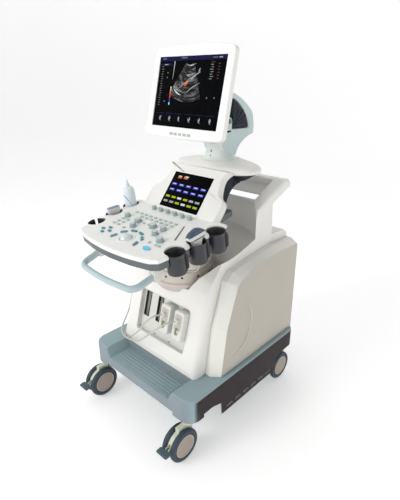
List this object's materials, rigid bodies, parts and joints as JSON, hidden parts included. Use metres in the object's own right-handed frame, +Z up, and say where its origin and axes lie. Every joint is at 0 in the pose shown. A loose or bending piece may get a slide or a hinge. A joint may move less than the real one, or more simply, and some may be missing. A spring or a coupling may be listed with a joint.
{
  "type": "trolley ultrasound machine",
  "caption": "Wheeled ultrasound machine: swivelling control console with probe cups, touch panel and trackball, tilting monitor on a neck, twin-wheel casters.",
  "frame": {"origin": "middle of the whole machine's footprint on the floor, cables left out", "axes": "+Z up, the operator stands on the -Y side and faces +Y, +X is the operator's right"},
  "size_m": [0.5774, 0.7883, 1.3669],
  "materials": {
    "white_shell": "fine satin texture",
    "base_blue": "fine satin texture",
    "chassis_steel": "black powder coat",
    "caster_housing": "satin",
    "tyre": "smooth polyurethane",
    "pedal_teal": "satin",
    "slate_trim": "satin",
    "cup_navy": "satin",
    "handle_teal": "soft-touch",
    "ball_white": "polished",
    "key_grey": "satin",
    "key_teal": "satin",
    "key_cyan": "translucent, lit",
    "knob_grey": "satin",
    "display": "glossy panel",
    "arm_shell": "satin",
    "navy_trim": "satin",
    "probe_shell": "satin",
    "bottle": "translucent squeeze bottle",
    "cable": "smooth jacket",
    "fitting_black": "moulded",
    "screw_steel": "zinc plated",
    "module_metal": "folded sheet"
  },
  "bodies": {
    "root": {"base_cover": "base_blue", "base_frame": "chassis_steel", "centre_housing": "white_shell", "rear_handle": "white_shell", "side_cover_left": "white_shell", "side_cover_right": "white_shell", "rear_cover": "white_shell", "rear_fittings": "fitting_black", "connector_panel": "white_shell", "probe_connectors": "probe_shell", "electronics_module": "module_metal", "turret_base": "white_shell", "panel_screws": "screw_steel", "linear_cable_lower": "cable", "convex_cable_lower": "cable"},
    "console": {"console_deck": "white_shell", "console_tray": "slate_trim", "console_pan": "white_shell", "front_handle": "handle_teal", "cups_left": "cup_navy", "cups_right": "cup_navy", "touch_housing": "white_shell", "touch_screen": "display", "linear_probe": "probe_shell", "convex_probe": "probe_shell", "linear_cable_upper": "cable", "convex_cable_upper": "cable"},
    "neck": {"neck_arm": "arm_shell", "tilt_shroud": "navy_trim"},
    "monitor": {"monitor_bezel": "white_shell", "lcd_panel": "display", "monitor_rear": "white_shell"},
    "trackball": {"trackball": "ball_white"},
    "function_keys": {"function_keys": "key_grey"},
    "teal_keys": {"teal_keys": "key_teal"},
    "freeze_key": {"freeze_key": "key_cyan"},
    "gel_bottle": {"gel_bottle": "bottle"},
    "caster_front_left": {"caster_fork_front_left": "caster_housing"},
    "wheels_front_left": {"caster_wheels_front_left": "tyre"},
    "pedal_front_left": {"brake_pedal_front_left": "pedal_teal"},
    "caster_front_right": {"caster_fork_front_right": "caster_housing"},
    "wheels_front_right": {"caster_wheels_front_right": "tyre"},
    "pedal_front_right": {"brake_pedal_front_right": "pedal_teal"},
    "caster_rear_left": {"caster_fork_rear_left": "caster_housing"},
    "wheels_rear_left": {"caster_wheels_rear_left": "tyre"},
    "caster_rear_right": {"caster_fork_rear_right": "caster_housing"},
    "wheels_rear_right": {"caster_wheels_rear_right": "tyre"},
    "gain_knob_left": {"gain_knob_left": "knob_grey"},
    "mode_knob_left": {"mode_knob_left": "knob_grey"},
    "menu_knob_left": {"menu_knob_left": "knob_grey"},
    "mode_knob_right": {"mode_knob_right": "knob_grey"},
    "menu_knob_right": {"menu_knob_right": "knob_grey"},
    "gain_knob_right": {"gain_knob_right": "knob_grey"},
    "zoom_knob": {"zoom_knob": "knob_grey"},
    "encoder_1": {"encoder_1": "knob_grey"},
    "encoder_2": {"encoder_2": "knob_grey"},
    "encoder_3": {"encoder_3": "knob_grey"},
    "encoder_4": {"encoder_4": "knob_grey"},
    "encoder_5": {"encoder_5": "knob_grey"},
    "encoder_6": {"encoder_6": "knob_grey"}
  },
  "joints": [
    {"name": "console_swivel", "type": "hinge", "parent": "root", "child": "console", "pos_m": [0, -0.024, 0.548], "axis": [0, 0, 1], "range_deg": [-20, 20]},
    {"name": "monitor_swivel", "type": "hinge", "parent": "console", "child": "neck", "pos_m": [0, 0.187, 0.975], "axis": [0, 0, 1], "range_deg": [-60, 60]},
    {"name": "monitor_tilt", "type": "hinge", "parent": "neck", "child": "monitor", "pos_m": [0, 0.188, 1.112], "axis": [1, 0, 0], "range_deg": [-15, 15]},
    {"name": "caster_swivel_front_left", "type": "hinge", "parent": "root", "child": "caster_front_left", "pos_m": [-0.242, -0.246, 0.15], "axis": [0, 0, 1], "continuous": true},
    {"name": "wheel_spin_front_left", "type": "hinge", "parent": "caster_front_left", "child": "wheels_front_left", "pos_m": [-0.242, -0.288, 0.0625], "axis": [1, 0, 0], "continuous": true},
    {"name": "brake_pedal_left", "type": "hinge", "parent": "caster_front_left", "child": "pedal_front_left", "pos_m": [-0.242, -0.345, 0.068], "axis": [1, 0, 0], "range_deg": [0, 12]},
    {"name": "caster_swivel_front_right", "type": "hinge", "parent": "root", "child": "caster_front_right", "pos_m": [0.242, -0.246, 0.15], "axis": [0, 0, 1], "continuous": true},
    {"name": "wheel_spin_front_right", "type": "hinge", "parent": "caster_front_right", "child": "wheels_front_right", "pos_m": [0.242, -0.288, 0.0625], "axis": [1, 0, 0], "continuous": true},
    {"name": "brake_pedal_right", "type": "hinge", "parent": "caster_front_right", "child": "pedal_front_right", "pos_m": [0.242, -0.345, 0.068], "axis": [1, 0, 0], "range_deg": [0, 12]},
    {"name": "caster_swivel_rear_left", "type": "hinge", "parent": "root", "child": "caster_rear_left", "pos_m": [-0.242, 0.354, 0.15], "axis": [0, 0, 1], "continuous": true},
    {"name": "wheel_spin_rear_left", "type": "hinge", "parent": "caster_rear_left", "child": "wheels_rear_left", "pos_m": [-0.242, 0.312, 0.0625], "axis": [1, 0, 0], "continuous": true},
    {"name": "caster_swivel_rear_right", "type": "hinge", "parent": "root", "child": "caster_rear_right", "pos_m": [0.242, 0.354, 0.15], "axis": [0, 0, 1], "continuous": true},
    {"name": "wheel_spin_rear_right", "type": "hinge", "parent": "caster_rear_right", "child": "wheels_rear_right", "pos_m": [0.242, 0.312, 0.0625], "axis": [1, 0, 0], "continuous": true},
    {"name": "trackball_roll", "type": "hinge", "parent": "console", "child": "trackball", "pos_m": [0.006, -0.28185, 0.76979], "axis": [1, 0, 0], "continuous": true},
    {"name": "function_keys_press", "type": "slide", "parent": "console", "child": "function_keys", "axis": [0, 0.1464, -0.9892], "range_m": [0, 0.0015], "stiffness_N_per_m": 60},
    {"name": "teal_keys_press", "type": "slide", "parent": "console", "child": "teal_keys", "axis": [0, 0.1464, -0.9892], "range_m": [0, 0.0015], "stiffness_N_per_m": 60},
    {"name": "freeze_key_press", "type": "slide", "parent": "console", "child": "freeze_key", "axis": [0, 0.1464, -0.9892], "range_m": [0, 0.0015], "stiffness_N_per_m": 200},
    {"name": "gain_knob_left_turn", "type": "hinge", "parent": "console", "child": "gain_knob_left", "pos_m": [-0.132, -0.16802, 0.793], "axis": [0, -0.1464, 0.9892], "continuous": true},
    {"name": "mode_knob_left_turn", "type": "hinge", "parent": "console", "child": "mode_knob_left", "pos_m": [-0.06, -0.17791, 0.79154], "axis": [0, -0.1464, 0.9892], "continuous": true},
    {"name": "menu_knob_left_turn", "type": "hinge", "parent": "console", "child": "menu_knob_left", "pos_m": [-0.044, -0.21353, 0.78627], "axis": [0, -0.1464, 0.9892], "continuous": true},
    {"name": "mode_knob_right_turn", "type": "hinge", "parent": "console", "child": "mode_knob_right", "pos_m": [0.023, -0.17989, 0.79125], "axis": [0, -0.1464, 0.9892], "continuous": true},
    {"name": "menu_knob_right_turn", "type": "hinge", "parent": "console", "child": "menu_knob_right", "pos_m": [0.072, -0.17693, 0.79169], "axis": [0, -0.1464, 0.9892], "continuous": true},
    {"name": "gain_knob_right_turn", "type": "hinge", "parent": "console", "child": "gain_knob_right", "pos_m": [0.072, -0.21353, 0.78627], "axis": [0, -0.1464, 0.9892], "continuous": true},
    {"name": "zoom_knob_turn", "type": "hinge", "parent": "console", "child": "zoom_knob", "pos_m": [0.124, -0.23727, 0.78275], "axis": [0, -0.1464, 0.9892], "continuous": true},
    {"name": "encoder_1_turn", "type": "hinge", "parent": "console", "child": "encoder_1", "pos_m": [-0.0925, -0.07306, 0.80706], "axis": [0, -0.1464, 0.9892], "continuous": true},
    {"name": "encoder_2_turn", "type": "hinge", "parent": "console", "child": "encoder_2", "pos_m": [-0.0555, -0.07306, 0.80706], "axis": [0, -0.1464, 0.9892], "continuous": true},
    {"name": "encoder_3_turn", "type": "hinge", "parent": "console", "child": "encoder_3", "pos_m": [-0.0185, -0.07306, 0.80706], "axis": [0, -0.1464, 0.9892], "continuous": true},
    {"name": "encoder_4_turn", "type": "hinge", "parent": "console", "child": "encoder_4", "pos_m": [0.0185, -0.07306, 0.80706], "axis": [0, -0.1464, 0.9892], "continuous": true},
    {"name": "encoder_5_turn", "type": "hinge", "parent": "console", "child": "encoder_5", "pos_m": [0.0555, -0.07306, 0.80706], "axis": [0, -0.1464, 0.9892], "continuous": true},
    {"name": "encoder_6_turn", "type": "hinge", "parent": "console", "child": "encoder_6", "pos_m": [0.0925, -0.07306, 0.80706], "axis": [0, -0.1464, 0.9892], "continuous": true},
    {"name": "gel_bottle_lift", "type": "slide", "parent": "console", "child": "gel_bottle", "axis": [0, -0.1464, 0.9892], "range_m": [0, 0.12]}
  ]
}
